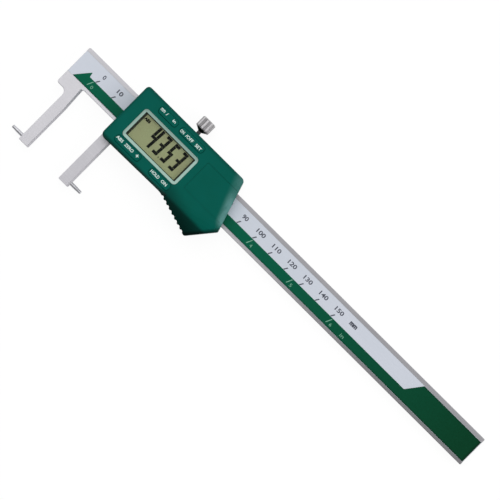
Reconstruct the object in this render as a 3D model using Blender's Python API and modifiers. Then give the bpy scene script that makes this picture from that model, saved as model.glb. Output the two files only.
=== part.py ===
"""Digital inside caliper: a steel beam with a fixed jaw, and a slider with a moving jaw and a display.

Metres, +Z out of the display. X runs along the beam and Y across it, with the jaws towards -Y.
Sizes are given from the beam's left end, its lower edge and the plane that the caliper lies on.
"""

import math

import bmesh
import bpy
from mathutils import Matrix, Vector

MM = 0.001

# How far a cutter goes past the face that it cuts, and how far joined solids reach into each other
OVER = 1.0 * MM
OVERLAP = 0.3 * MM

# Clearances
RUN_GAP = 0.1 * MM
SEAT_GAP = 0.05 * MM
KEY_GAP = 0.15 * MM

# Beam and fixed jaw
BEAM_LENGTH = 252.0 * MM
BEAM_WIDTH = 16.0 * MM
BEAM_THICKNESS = 3.6 * MM
BEAM_EDGE = 0.25 * MM
JAW_REACH = 36.2 * MM
BLOCK_DROP = 5.6 * MM
FIXED_LEG_LEFT = 6.1 * MM
LEG_WIDTH = 5.9 * MM
LEG_NECK = 0.7 * MM
LEG_NECK_DROP = 12.5 * MM
LEG_BEVEL = 0.95 * MM
JAW_FILLET = 2.6 * MM
BLOCK_CORNER = 1.3 * MM
BEAM_CORNER = 0.4 * MM
NECK_FILLET = 0.6 * MM
LEG_END_CORNER = 0.5 * MM

# Measuring pins
PIN_REACH = 6.15 * MM
PIN_DIAMETER = 1.9 * MM
PIN_END_DIAMETER = 1.65 * MM
PIN_DOME = 0.4 * MM
PIN_TAPER_START = 2.9 * MM
PIN_TAPER_END = 4.6 * MM
PIN_SEAT = 4.4 * MM
PIN_RISE = 2.3 * MM

# Scale in the beam's recess
LOWER_BAND = 1.5 * MM
UPPER_BAND = 1.95 * MM
RECESS_DEPTH = 0.8 * MM
STATOR_THICKNESS = 0.45 * MM
LABEL_THICKNESS = 0.2 * MM
PRINT_THICKNESS = 0.04 * MM
LABEL_END_GAP = 0.2 * MM
STRIPE_HEIGHT = 4.85 * MM
ARROW_START = 3.0 * MM
ARROW_TIP = 8.7 * MM
ARROW_RISE = 2.1 * MM
ARROW_SHAFT = 0.7 * MM
FIELD_LENGTH = 42.2 * MM
FIELD_SLANT = 5.8 * MM

# Slider: what the open jaws measure sets its place
READING = 43.53 * MM
BATTERY_BAY = 18.0 * MM
BACK_PLATE_THICKNESS = 1.5 * MM
LOWER_RAIL = 4.4 * MM
UPPER_RAIL = 3.6 * MM
GIB_THICKNESS = 0.8 * MM
GIB_SPACE = 1.0 * MM
LIP_THICKNESS = 0.7 * MM
LOWER_LIP = 1.2 * MM
UPPER_LIP = 1.3 * MM
BRIDGE_LENGTH = 6.2 * MM
FRAME_OPENING_CORNER = 1.5 * MM
FRAME_CORNER = 0.6 * MM
PLATE_CORNER = 0.8 * MM
PLATE_EDGE = 0.2 * MM
LEG_ROOT_FILLET = 0.8 * MM

# Lock screw
LOCK_PLACE = 30.6 * MM
LOCK_STEM_DIAMETER = 2.0 * MM
LOCK_NECK = 1.7 * MM
KNOB_DIAMETER = 7.3 * MM
KNOB_LENGTH = 6.5 * MM
KNOB_TAPER = 1.2 * MM
KNOB_EDGE = 0.5 * MM
KNURL_COUNT = 15
KNURL_DEPTH = 0.42 * MM
SHOE_LENGTH = 0.7 * MM
SHOE_REST_GAP = 0.3 * MM
LOCK_RISE = 2.3 * MM

# Small screws
GIB_SCREW_DIAMETER = 1.9 * MM
GIB_SCREW_LENGTH = 3.2 * MM
GIB_SCREW_INSET_LEFT = 14.0 * MM
GIB_SCREW_INSET_RIGHT = 11.6 * MM
SCREW_DIAMETER = 1.7 * MM
SCREW_HEAD_DIAMETER = 3.0 * MM
SCREW_HEAD_DEPTH = 0.8 * MM
SCREW_HEAD_RIM = 0.15 * MM
SCREW_LENGTH = 9.0 * MM
SCREW_INSET = 3.2 * MM
SLOT_WIDTH = 0.45 * MM
SLOT_DEPTH = 0.4 * MM

# End stop
STOP_LENGTH = 10.5 * MM
STOP_WIDTH = 12.5 * MM
STOP_END_GAP = 0.6 * MM
STOP_CORNER = 1.2 * MM
STOP_SCREW_PITCH = 7.0 * MM
STOP_SCREW_LENGTH = 4.0 * MM

# Housing outline, from the slider's two ends
HOUSING_OVERHANG = 0.1 * MM
TOP_OVERRUN = 1.1 * MM
NOSE_OVERRUN = 9.1 * MM
NOSE_HEIGHT = -2.75 * MM
THUMB_SETBACK = 0.8 * MM
THUMB_DROP = 6.05 * MM
SLOPE_SETBACK = 22.3 * MM
SLOPE_RISE = 0.5 * MM
# An edge is rounded only if the face above it is more level than this, as the sine of its height
SHARP_CHAMFER = 0.8
UPPER_SKIRT = 1.75 * MM
LOWER_SKIRT = 4.15 * MM
HOUSING_BOTTOM = 0.5 * MM
HOUSING_FRONT = 14.2 * MM
BEAM_EXIT_GAP = 0.3 * MM
HOUSING_WALL = 1.6 * MM
HOUSING_EDGE = 0.6 * MM
TOP_LEFT_CORNER = 1.8 * MM
TOP_RIGHT_CORNER = 2.0 * MM
LOWER_LEFT_CORNER = 2.5 * MM
NOSE_CORNER = 1.0 * MM
THUMB_CORNER = 1.2 * MM
SLOPE_FILLET = 5.0 * MM
CHAMFER_WIDTH = 2.3 * MM
CHAMFER_DROP = 1.5 * MM
LOWER_CHAMFER_WIDTH = 1.3 * MM
LOWER_CHAMFER_DROP = 1.6 * MM
LOWER_CHAMFER_TAPER = 0.8 * MM
ROLL_RADIUS = 22.0 * MM
ROLL_SETBACK = 3.6 * MM
ROLL_END_ANGLE = math.radians(50)
ROLL_FACETS = 9
GRIP_PITCH = 2.5 * MM
GRIP_RADIUS = 1.0 * MM
GRIP_DEPTH = 0.55 * MM
GRIP_MARGIN = 2.2 * MM
BOSS_DIAMETER = 3.4 * MM
CAVITY_CORNER = 1.0 * MM
LOCK_OPENING_GAP = 0.5 * MM
SCREW_ACCESS_GAP = 0.25 * MM
THUMB_POCKET_ROOF = 7.4 * MM
THUMB_RIB = 1.1 * MM

# Display
BEZEL_LEFT = 6.3 * MM
BEZEL_LOW = -1.75 * MM
BEZEL_LENGTH = 33.7 * MM
BEZEL_HEIGHT = 16.35 * MM
BEZEL_RIM = 1.35 * MM
BEZEL_CORNER = 1.7 * MM
WINDOW_CORNER = 0.4 * MM
BEZEL_FLANGE = 0.85 * MM
BEZEL_PROUD = 0.3 * MM
BEZEL_LEDGE = 0.7 * MM
BEZEL_EDGE = 0.25 * MM
PANEL_INSET = 0.3 * MM
WINDOW_THICKNESS = 0.8 * MM
PANEL_THICKNESS = 1.8 * MM
CONNECTOR_WIDTH = 1.5 * MM
CONNECTOR_INSET = 1.0 * MM
HOLDER_WALL = 1.1 * MM

# Circuit board
BOARD_THICKNESS = 1.0 * MM
BOARD_EDGE = 2.0 * MM
CHIP_SIZE = 6.0 * MM
CHIP_HEIGHT = 1.2 * MM

# Keys: each row's two keys, from the bezel's left end to its right end
KEY_HEIGHT = 3.5 * MM
KEY_ROW_OFFSET = 2.55 * MM
KEY_PROUD = 0.3 * MM
KEY_FLANGE = 0.5 * MM
KEY_FLANGE_THICKNESS = 0.7 * MM
KEY_TRAVEL = 0.4 * MM
KEY_PLUNGER_DIAMETER = 2.0 * MM
KEY_EDGE = 0.25 * MM
KEY_CORNER = 1.2 * MM
DOME_DIAMETER = 3.2 * MM
DOME_HEIGHT = 0.6 * MM
UNITS_KEY_INSET = 4.6 * MM
UNITS_KEY_LENGTH = 10.9 * MM
UPPER_KEYS_GAP = 2.2 * MM
POWER_KEY_INSET = 1.6 * MM
ZERO_KEY_OUTSET = 0.6 * MM
ZERO_KEY_LENGTH = 14.9 * MM
LOWER_KEYS_GAP = 6.5 * MM
HOLD_KEY_INSET = 0.9 * MM

# Battery and its cover
CELL_DIAMETER = 11.6 * MM
CELL_HEIGHT = 4.2 * MM
CELL_GAP = 0.25 * MM
CELL_INSET = 9.2 * MM
CELL_OFFSET = 0.75 * MM
CELL_EDGE = 0.3 * MM
CONTACT_THICKNESS = 0.25 * MM
CONTACT_WIDTH = 3.0 * MM
CONTACT_HEIGHT = 3.6 * MM
CONTACT_FOOT = 1.2 * MM
COVER_HEIGHT = 15.6 * MM
COVER_THICKNESS = 1.2 * MM
COVER_GAP = 0.1 * MM
COVER_TONGUE = 0.7 * MM
COVER_TONGUE_REACH = 0.7 * MM
COVER_TONGUE_LENGTH = 3.4 * MM
COVER_TRAVEL = 12.6 * MM
COVER_LIP = 1.1 * MM
COVER_LIP_LOW = 11.0 * MM
COVER_WALL = 1.0 * MM

# Facets
ARC_STEP = math.radians(15)
ROUND_STEPS = 24
SMALL_STEPS = 16

# Heights above the plane that the caliper lies on
beam_back = BACK_PLATE_THICKNESS + RUN_GAP
beam_front = beam_back + BEAM_THICKNESS
beam_middle = beam_back + BEAM_THICKNESS / 2
stator_back = beam_front - RECESS_DEPTH + SEAT_GAP
label_back = stator_back + STATOR_THICKNESS + SEAT_GAP
print_back = label_back + LABEL_THICKNESS + SEAT_GAP / 5
lip_back = beam_front + RUN_GAP
frame_back = BACK_PLATE_THICKNESS + SEAT_GAP
frame_front = lip_back + LIP_THICKNESS
board_back = frame_front + SEAT_GAP
board_front = board_back + BOARD_THICKNESS
boss_back = board_front + SEAT_GAP
wall_back = HOUSING_FRONT - HOUSING_WALL
panel_front = wall_back - SEAT_GAP
panel_back = panel_front - PANEL_THICKNESS
window_back = panel_front + SEAT_GAP
bezel_front = HOUSING_FRONT + BEZEL_PROUD
lock_height = beam_back + LOCK_RISE
cover_back = HOUSING_FRONT - COVER_THICKNESS
tongue_back = cover_back - COVER_TONGUE
cell_front = tongue_back - COVER_GAP - SEAT_GAP
cell_back = cell_front - CELL_HEIGHT

# Places across the beam
gib_low = BEAM_WIDTH + SEAT_GAP
rail_inside = BEAM_WIDTH + GIB_SPACE
frame_high = rail_inside + UPPER_RAIL
frame_low = -RUN_GAP - LOWER_RAIL
upper_screw_line = rail_inside + UPPER_RAIL / 2
lower_screw_line = frame_low + LOWER_RAIL / 2
housing_high = frame_high + RUN_GAP + UPPER_SKIRT
housing_low = frame_low - RUN_GAP - LOWER_SKIRT
bezel_high = BEZEL_LOW + BEZEL_HEIGHT
upper_key_line = (bezel_high + housing_high) / 2
lower_key_line = BEZEL_LOW - KEY_ROW_OFFSET
stripe_low = LOWER_BAND
label_high = BEAM_WIDTH - UPPER_BAND
pin_line = -JAW_REACH + PIN_RISE
cell_line = BEAM_WIDTH / 2 + CELL_OFFSET
shoe_low = gib_low + GIB_THICKNESS + SHOE_REST_GAP
stem_low = shoe_low + SHOE_LENGTH + SEAT_GAP
knob_low = housing_high + LOCK_NECK
knob_high = knob_low + KNOB_LENGTH

# Places along the beam
fixed_leg_right = FIXED_LEG_LEFT + LEG_WIDTH
fixed_pin_end = FIXED_LEG_LEFT - PIN_REACH
slider_left = fixed_pin_end + READING - PIN_REACH - LEG_WIDTH
stop_right = BEAM_LENGTH - STOP_END_GAP
stop_left = stop_right - STOP_LENGTH
field_start = BEAM_LENGTH - FIELD_LENGTH
bezel_right = BEZEL_LEFT + BEZEL_LENGTH
cavity_right = bezel_right + HOUSING_WALL
slider_length = cavity_right + BATTERY_BAY
gib_screw_places = (GIB_SCREW_INSET_LEFT, slider_length - GIB_SCREW_INSET_RIGHT)
top_reach = slider_length + TOP_OVERRUN
nose_reach = slider_length + NOSE_OVERRUN
thumb_reach = slider_length - THUMB_SETBACK
slope_start = slider_length - SLOPE_SETBACK
cell_place = slider_length - CELL_INSET
cover_left = cell_place - CELL_DIAMETER / 2 - COVER_WALL

# The part's origin is under the middle of its outline
middle_x = (min(fixed_pin_end, 0) + BEAM_LENGTH) / 2
middle_y = (knob_high - JAW_REACH) / 2

COLOURS = {
    "steel": ((0.62, 0.62, 0.66), 0.32, 1.0),
    "pin_steel": ((0.55, 0.55, 0.58), 0.25, 1.0),
    "dark_steel": ((0.35, 0.35, 0.37), 0.35, 1.0),
    "chrome": ((0.75, 0.75, 0.77), 0.15, 1.0),
    "brass": ((0.72, 0.55, 0.28), 0.35, 1.0),
    "green_plastic": ((0.003, 0.105, 0.075), 0.35, 0.0),
    "green_print": ((0.0, 0.115, 0.05), 0.4, 0.0),
    "silver_film": ((0.66, 0.67, 0.75), 0.35, 0.3),
    "pale_plastic": ((0.62, 0.75, 0.68), 0.3, 0.0),
    "clear_plastic": ((0.9, 0.95, 0.92), 0.05, 0.0),
    "lcd": ((0.38, 0.4, 0.22), 0.3, 0.0),
    "board": ((0.02, 0.16, 0.06), 0.5, 0.0),
    "rubber": ((0.05, 0.05, 0.05), 0.8, 0.0),
    "white_plastic": ((0.75, 0.75, 0.72), 0.5, 0.0),
}


def start_scene():
    """Removes what the scene holds and returns the collections for the part and for its cutters."""
    for old in list(bpy.data.objects):
        bpy.data.objects.remove(old, do_unlink=True)
    collections = []
    for name in ("digital_inside_caliper", "cutters"):
        made = bpy.data.collections.new(name)
        bpy.context.scene.collection.children.link(made)
        collections.append(made)
    collections[1].hide_render = True
    return collections


PARTS, CUTTERS = start_scene()


def material(name):
    found = bpy.data.materials.get(name)
    if found:
        return found
    colour, roughness, metallic = COLOURS[name]
    made = bpy.data.materials.new(name)
    made.use_nodes = True
    shader = made.node_tree.nodes["Principled BSDF"]
    shader.inputs["Base Color"].default_value = (*colour, 1.0)
    shader.inputs["Roughness"].default_value = roughness
    shader.inputs["Metallic"].default_value = metallic
    made.diffuse_color = (*colour, 1.0)
    return made


def frame_empty(name, location, parent=None):
    """An empty that carries the pieces of one body, at that body's own reference point."""
    empty = bpy.data.objects.new(name, None)
    empty.empty_display_size = 0.01
    PARTS.objects.link(empty)
    empty.parent = parent
    empty.location = location
    return empty


def corner_points(before, corner, after, radius):
    """The arc that rounds one corner of an outline, or the corner itself when its radius is 0."""
    to_before = (Vector(before) - Vector(corner)).normalized()
    to_after = (Vector(after) - Vector(corner)).normalized()
    half = to_before.angle(to_after) / 2
    if radius <= 0 or half > math.radians(89.5):
        return [tuple(corner)]
    centre = Vector(corner) + (to_before + to_after).normalized() * radius / math.sin(half)
    start = Vector(corner) + to_before * radius / math.tan(half) - centre
    turn = math.pi - 2 * half
    side = 1 if to_before.cross(to_after) < 0 else -1
    count = max(1, round(turn / ARC_STEP))
    points = []
    for step in range(count + 1):
        angle = side * turn * step / count
        turned_x = start.x * math.cos(angle) - start.y * math.sin(angle)
        turned_y = start.x * math.sin(angle) + start.y * math.cos(angle)
        points.append((centre.x + turned_x, centre.y + turned_y))
    return points


def rounded(corners):
    """The closed outline through these (x, y, radius) corners."""
    points = []
    for index, (x, y, radius) in enumerate(corners):
        before = corners[index - 1][:2]
        after = corners[(index + 1) % len(corners)][:2]
        points += corner_points(before, (x, y), after, radius)
    return points


def inset(corners, distance, radius):
    """These corners, given anticlockwise, moved inwards by a distance and rounded by one radius."""
    moved = []
    for index, (x, y, _) in enumerate(corners):
        corner = Vector((x, y))
        into = (corner - Vector(corners[index - 1][:2])).normalized()
        out = (Vector(corners[(index + 1) % len(corners)][:2]) - corner).normalized()
        normal_in = Vector((-into.y, into.x))
        normal_out = Vector((-out.y, out.x))
        shift = (normal_in + normal_out) / (1 + normal_in.dot(normal_out)) * distance
        moved.append((corner.x + shift.x, corner.y + shift.y, radius))
    return moved


def rectangle(left, low, right, high, radius=0.0):
    return [(left, low, radius), (right, low, radius), (right, high, radius), (left, high, radius)]


def circle(x, y, radius, steps=ROUND_STEPS):
    turn = 2 * math.pi / steps
    return [
        (x + radius * math.cos(turn * step), y + radius * math.sin(turn * step)) for step in range(steps)
    ]


def add_object(name, mesh, parent, finish):
    """Links a new object: a piece with a finish, or a cutter without one."""
    piece = bpy.data.objects.new(name, mesh)
    piece.parent = parent
    if finish:
        mesh.materials.append(material(finish))
        PARTS.objects.link(piece)
    else:
        CUTTERS.objects.link(piece)
        piece.hide_render = True
        piece.display_type = "WIRE"
    return piece


def mesh_of(source):
    """A clean closed mesh of an object as its modifiers leave it."""
    bpy.context.view_layer.update()
    graph = bpy.context.evaluated_depsgraph_get()
    mesh = bpy.data.meshes.new_from_object(source.evaluated_get(graph))
    work = bmesh.new()
    work.from_mesh(mesh)
    bmesh.ops.remove_doubles(work, verts=work.verts, dist=0.001 * MM)
    bmesh.ops.dissolve_limit(work, angle_limit=0.001, verts=work.verts, edges=work.edges)
    bmesh.ops.recalc_face_normals(work, faces=work.faces)
    work.to_mesh(mesh)
    work.free()
    return mesh


def prism(name, outlines, bottom, top, parent, finish=None, location=(0, 0, 0)):
    """A flat shape with these outlines, the first outside and the rest holes, from bottom to top."""
    curve = bpy.data.curves.new(name, "CURVE")
    curve.dimensions = "2D"
    curve.fill_mode = "BOTH"
    curve.extrude = (top - bottom) / 2
    for outline in outlines:
        spline = curve.splines.new("POLY")
        spline.points.add(len(outline) - 1)
        for point, (x, y) in zip(spline.points, outline):
            point.co = (x, y, 0, 1)
        spline.use_cyclic_u = True
    guide = bpy.data.objects.new(name + "_outline", curve)
    CUTTERS.objects.link(guide)
    mesh = mesh_of(guide)
    bpy.data.objects.remove(guide)
    mesh.transform(Matrix.Translation((0, 0, (top + bottom) / 2)))
    piece = add_object(name, mesh, parent, finish)
    piece.location = location
    return piece


def turned(name, profile, steps, parent, finish=None, location=(0, 0, 0), turn=None):
    """A turned shape: a profile of (radius, height) from top to bottom, swept about the local Z axis."""
    mesh = bpy.data.meshes.new(name)
    points = [(radius, 0, height) for radius, height in profile]
    mesh.from_pydata(points, [(index, index + 1) for index in range(len(points) - 1)], [])
    piece = add_object(name, mesh, parent, finish)
    sweep = piece.modifiers.new("sweep", "SCREW")
    sweep.steps = steps
    sweep.render_steps = steps
    sweep.use_merge_vertices = True
    sweep.merge_threshold = 0.001 * MM
    sweep.use_smooth_shade = True
    swept = mesh_of(piece)
    piece.modifiers.clear()
    piece.data = swept
    if finish:
        swept.shade_smooth()
        swept.set_sharp_from_angle(angle=math.radians(30))
    piece.location = location
    if turn:
        piece.rotation_euler = turn
    return piece


ALONG_X = (0, math.radians(90), 0)
ALONG_MINUS_X = (0, math.radians(-90), 0)
ALONG_Y = (math.radians(-90), 0, 0)
FACING_BACK = (math.radians(180), 0, 0)


def rod(name, diameter, bottom, top, steps, parent, finish=None, location=(0, 0, 0), turn=None):
    """A plain round bar from bottom to top along its own axis."""
    profile = [(0, top), (diameter / 2, top), (diameter / 2, bottom), (0, bottom)]
    return turned(name, profile, steps, parent, finish, location, turn)


def boolean(piece, other, operation):
    change = piece.modifiers.new(other.name, "BOOLEAN")
    change.operation = operation
    change.object = other
    change.solver = "EXACT"
    other.hide_render = True


def cut(piece, cutter):
    boolean(piece, cutter, "DIFFERENCE")


def join(piece, other):
    boolean(piece, other, "UNION")


def soften(piece, width, segments=1, angle=40):
    bevel = piece.modifiers.new("edges", "BEVEL")
    bevel.width = width
    bevel.segments = segments
    bevel.limit_method = "ANGLE"
    bevel.angle_limit = math.radians(angle)


def bar_along(name, outline, start, end, margins, height, parent):
    """A prism laid along the line from start to end, past them by its two margins.

    Its outline is (distance to the right of the line, height above the given height).
    """
    run = Vector(end) - Vector(start)
    along = run.normalized()
    bar = prism(name, [outline], -margins[1], run.length + margins[0], parent)
    axes = Matrix(((along.y, 0, -along.x), (-along.x, 0, -along.y), (0, 1, 0)))
    bar.matrix_local = Matrix.Translation((*end, height)) @ axes.to_4x4()
    return bar


def bevel_cutter(name, start, end, margins, width, drop, height, parent):
    """Takes a slanted strip off the front edge from start to end: width wide, drop down at the edge."""
    slope = drop / width
    top = OVER * (1 + slope)
    left = -width - OVER
    outline = [(left, OVER * slope), (2 * width, -3 * drop), (2 * width, top), (left, top)]
    return bar_along(name, outline, start, end, margins, height, parent)


def slotted(piece, head_at, parent, radius, location, turn):
    """Cuts a screwdriver slot across the top of a screw."""
    outline = rounded(rectangle(-radius * 2, -SLOT_WIDTH / 2, radius * 2, SLOT_WIDTH / 2))
    bar = prism(piece.name + "_slot", [outline], head_at - SLOT_DEPTH, head_at + SLOT_DEPTH, parent)
    bar.location = location
    bar.rotation_euler = turn
    cut(piece, bar)


def countersunk_screw(name, x, y, length, parent):
    """A flat-headed screw that goes in from the back, with its head just under the plate's face."""
    location = (x, y, SEAT_GAP)
    head = SCREW_HEAD_DIAMETER / 2
    shank = SCREW_DIAMETER / 2
    profile = [
        (0, 0),
        (head, 0),
        (head, -SCREW_HEAD_RIM),
        (shank, -SCREW_HEAD_DEPTH),
        (shank, -length),
        (0, -length),
    ]
    piece = turned(name, profile, SMALL_STEPS, parent, "dark_steel", location, FACING_BACK)
    slotted(piece, 0, parent, head, location, FACING_BACK)
    return piece


def screw_hole(name, x, y, depth, parent):
    """The countersunk hole of such a screw, with the seat's clearance all round."""
    head = SCREW_HEAD_DIAMETER / 2 + SEAT_GAP
    shank = SCREW_DIAMETER / 2 + SEAT_GAP
    profile = [
        (0, OVER),
        (head, OVER),
        (head, -SCREW_HEAD_RIM - 2 * SEAT_GAP),
        (shank, -SCREW_HEAD_DEPTH - 2 * SEAT_GAP),
        (shank, -depth),
        (0, -depth),
    ]
    return turned(name, profile, SMALL_STEPS, parent, None, (x, y, 0), FACING_BACK)


def build_pin(name, x, turn, parent):
    """A measuring pin whose local Z points out of its leg. Its domed end is the measuring face."""
    radius = PIN_DIAMETER / 2
    end = PIN_END_DIAMETER / 2
    low = PIN_REACH - PIN_DOME
    profile = []
    for angle in (0, math.pi / 6, math.pi / 3, math.pi / 2):
        profile.append((end * math.sin(angle), low + PIN_DOME * math.cos(angle)))
    profile += [(end, PIN_TAPER_END), (radius, PIN_TAPER_START), (radius, -PIN_SEAT), (0, -PIN_SEAT)]
    return turned(name, profile, ROUND_STEPS, parent, "pin_steel", (x, pin_line, beam_middle), turn)


def pin_socket(name, x, turn, parent):
    bore = PIN_DIAMETER + 2 * SEAT_GAP
    place = (x, pin_line, beam_middle)
    return rod(name, bore, -PIN_SEAT - SEAT_GAP, 1.0 * MM, ROUND_STEPS, parent, None, place, turn)


def build_beam(parent):
    """The beam and its fixed jaw: one flat outline, recessed for the scale and bored for the pin."""
    neck = fixed_leg_right - LEG_NECK
    corners = [
        (0, -BLOCK_DROP, BLOCK_CORNER),
        (FIXED_LEG_LEFT, -BLOCK_DROP, JAW_FILLET),
        (FIXED_LEG_LEFT, -JAW_REACH, LEG_END_CORNER),
        (fixed_leg_right, -JAW_REACH, LEG_END_CORNER),
        (fixed_leg_right, -LEG_NECK_DROP, 0),
        (neck, 0, NECK_FILLET),
        (BEAM_LENGTH, 0, BEAM_CORNER),
        (BEAM_LENGTH, BEAM_WIDTH, BEAM_CORNER),
        (0, BEAM_WIDTH, 2 * BEAM_CORNER),
    ]
    beam = prism("beam", [rounded(corners)], beam_back, beam_front, parent, "steel")
    soften(beam, BEAM_EDGE)
    recess = rounded(rectangle(-OVER, LOWER_BAND, BEAM_LENGTH + OVER, label_high))
    cut(beam, prism("recess", [recess], beam_front - RECESS_DEPTH, beam_front + OVER, parent))
    foot, knee, root = (fixed_leg_right, -JAW_REACH), (fixed_leg_right, -LEG_NECK_DROP), (neck, -BEAM_EDGE)
    for name, start, end, margins in (
        ("lower_leg_bevel", foot, knee, (OVER, OVER / 10)),
        ("upper_leg_bevel", knee, root, (OVER / 10, 0)),
    ):
        cut(beam, bevel_cutter(name, start, end, margins, LEG_BEVEL, LEG_BEVEL, beam_front, parent))
    cut(beam, pin_socket("fixed_socket", FIXED_LEG_LEFT, ALONG_MINUS_X, parent))
    for index, y in enumerate(stop_screw_lines()):
        depth = STOP_SCREW_LENGTH + 2 * SEAT_GAP
        cut(beam, screw_hole("stop_hole_" + str(index + 1), stop_middle(), y, depth, parent))
    return beam


def stop_middle():
    return (stop_left + stop_right) / 2


def stop_screw_lines():
    return (BEAM_WIDTH / 2 - STOP_SCREW_PITCH / 2, BEAM_WIDTH / 2 + STOP_SCREW_PITCH / 2)


def build_scale(parent):
    """The scale strip, the label over it and the green field printed on the label."""
    left = LABEL_END_GAP
    right = BEAM_LENGTH - LABEL_END_GAP
    low = LOWER_BAND + SEAT_GAP
    high = label_high - SEAT_GAP
    strip = rounded(rectangle(left, low, right, high))
    prism("scale_stator", [strip], stator_back, stator_back + STATOR_THICKNESS, parent, "board")
    prism("scale_label", [strip], label_back, label_back + LABEL_THICKNESS, parent, "silver_film")
    stripe_high = stripe_low + STRIPE_HEIGHT
    inner = 2 * SEAT_GAP
    field = [
        (ARROW_START, low + inner),
        (right - inner, low + inner),
        (right - inner, high - inner),
        (field_start + FIELD_SLANT, high - inner),
        (field_start, stripe_high),
        (ARROW_TIP + ARROW_SHAFT, stripe_high),
        (ARROW_TIP + ARROW_SHAFT / 3, stripe_high + ARROW_RISE),
        (ARROW_TIP, stripe_high + ARROW_RISE),
    ]
    prism("label_green_field", [field], print_back, print_back + PRINT_THICKNESS, parent, "green_print")


def build_end_stop(parent):
    low = (BEAM_WIDTH - STOP_WIDTH) / 2
    outline = rounded(rectangle(stop_left, low, stop_right, low + STOP_WIDTH, STOP_CORNER))
    stop = prism("end_stop", [outline], 0, beam_back - SEAT_GAP, parent, "dark_steel")
    for index, y in enumerate(stop_screw_lines()):
        number = str(index + 1)
        cut(stop, screw_hole("stop_plate_hole_" + number, stop_middle(), y, STOP_SCREW_LENGTH, parent))
        countersunk_screw("end_stop_screw_" + number, stop_middle(), y, STOP_SCREW_LENGTH, parent)


def back_screw_places():
    """The slider's four back screws: (x, y) in each corner of the frame."""
    right = slider_length - SCREW_INSET
    lines = (lower_screw_line, upper_screw_line)
    return [(x, y) for x in (SCREW_INSET, right) for y in lines]


def build_frame(parent):
    """The slider's steel frame: two rails joined by a bridge at each end, with the moving leg below."""
    corners = [
        (0, -JAW_REACH, LEG_END_CORNER),
        (LEG_WIDTH, -JAW_REACH, LEG_END_CORNER),
        (LEG_WIDTH, frame_low, LEG_ROOT_FILLET),
        (slider_length, frame_low, FRAME_CORNER),
        (slider_length, frame_high, FRAME_CORNER),
        (0, frame_high, FRAME_CORNER),
    ]
    frame = prism("slider_frame", [rounded(corners)], frame_back, frame_front, parent, "steel")
    soften(frame, BEAM_EDGE)
    channel = rounded(rectangle(-OVER, -RUN_GAP, slider_length + OVER, rail_inside))
    cut(frame, prism("beam_channel", [channel], frame_back - OVER, lip_back, parent))
    left, right = BRIDGE_LENGTH, slider_length - BRIDGE_LENGTH
    gap = rounded(rectangle(left, LOWER_LIP, right, BEAM_WIDTH - UPPER_LIP, FRAME_OPENING_CORNER))
    cut(frame, prism("frame_opening", [gap], lip_back - OVER, frame_front + OVER, parent))
    leg_zone = rounded(rectangle(-OVER, -JAW_REACH - OVER, LEG_WIDTH + LEG_ROOT_FILLET + OVER, frame_low))
    cut(frame, prism("leg_front", [leg_zone], beam_front, frame_front + OVER, parent))
    foot, root = (LEG_WIDTH, -JAW_REACH), (LEG_WIDTH, frame_low - LEG_ROOT_FILLET)
    name = "moving_leg_bevel"
    cut(frame, bevel_cutter(name, foot, root, (OVER, 0), LEG_BEVEL, LEG_BEVEL, beam_front, parent))
    cut(frame, pin_socket("sliding_socket", LEG_WIDTH, ALONG_X, parent))
    for index, (x, y) in enumerate(back_screw_places()):
        cut(frame, back_screw_hole("frame_hole_" + str(index + 1), x, y, parent))
    bores = [("lock_bore", LOCK_PLACE, LOCK_STEM_DIAMETER)]
    for index, x in enumerate(gib_screw_places):
        bores.append(("gib_bore_" + str(index + 1), x, GIB_SCREW_DIAMETER))
    low, high = rail_inside - OVER / 2, frame_high + OVER
    for name, x, diameter in bores:
        bore = diameter + 2 * SEAT_GAP
        cut(frame, rod(name, bore, low, high, ROUND_STEPS, parent, None, (x, 0, lock_height), ALONG_Y))


def back_screw_hole(name, x, y, parent):
    """The plain hole of a back screw through frame, board and boss."""
    bore = SCREW_DIAMETER + 2 * SEAT_GAP
    top = SCREW_LENGTH + 4 * SEAT_GAP
    return rod(name, bore, frame_back - OVER, top, SMALL_STEPS, parent, None, (x, y, 0))


def build_gib(parent):
    high = gib_low + GIB_THICKNESS
    outline = rounded(rectangle(RUN_GAP, gib_low, slider_length - RUN_GAP, high))
    prism("gib_strip", [outline], frame_back + SEAT_GAP, lip_back - SEAT_GAP, parent, "brass")
    for index, x in enumerate(gib_screw_places):
        name = "gib_screw_" + str(index + 1)
        low = high + SEAT_GAP
        top = low + GIB_SCREW_LENGTH
        place = (x, 0, lock_height)
        screw = rod(name, GIB_SCREW_DIAMETER, low, top, SMALL_STEPS, parent, "dark_steel", place, ALONG_Y)
        slotted(screw, top, parent, GIB_SCREW_DIAMETER / 2, place, ALONG_Y)


def build_back_plate(parent):
    corners = rectangle(0, frame_low, slider_length, frame_high, PLATE_CORNER)
    plate = prism("back_plate", [rounded(corners)], 0, BACK_PLATE_THICKNESS, parent, "steel")
    soften(plate, PLATE_EDGE)
    for index, (x, y) in enumerate(back_screw_places()):
        number = str(index + 1)
        cut(plate, screw_hole("plate_hole_" + number, x, y, SCREW_LENGTH, parent))
        countersunk_screw("back_screw_" + number, x, y, SCREW_LENGTH, parent)


def housing_corners():
    left = -HOUSING_OVERHANG
    return [
        (left, housing_low, LOWER_LEFT_CORNER),
        (slope_start, housing_low + SLOPE_RISE, SLOPE_FILLET),
        (thumb_reach, housing_low - THUMB_DROP, THUMB_CORNER),
        (nose_reach, NOSE_HEIGHT, NOSE_CORNER),
        (top_reach, housing_high, TOP_RIGHT_CORNER),
        (left, housing_high, TOP_LEFT_CORNER),
    ]


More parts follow.
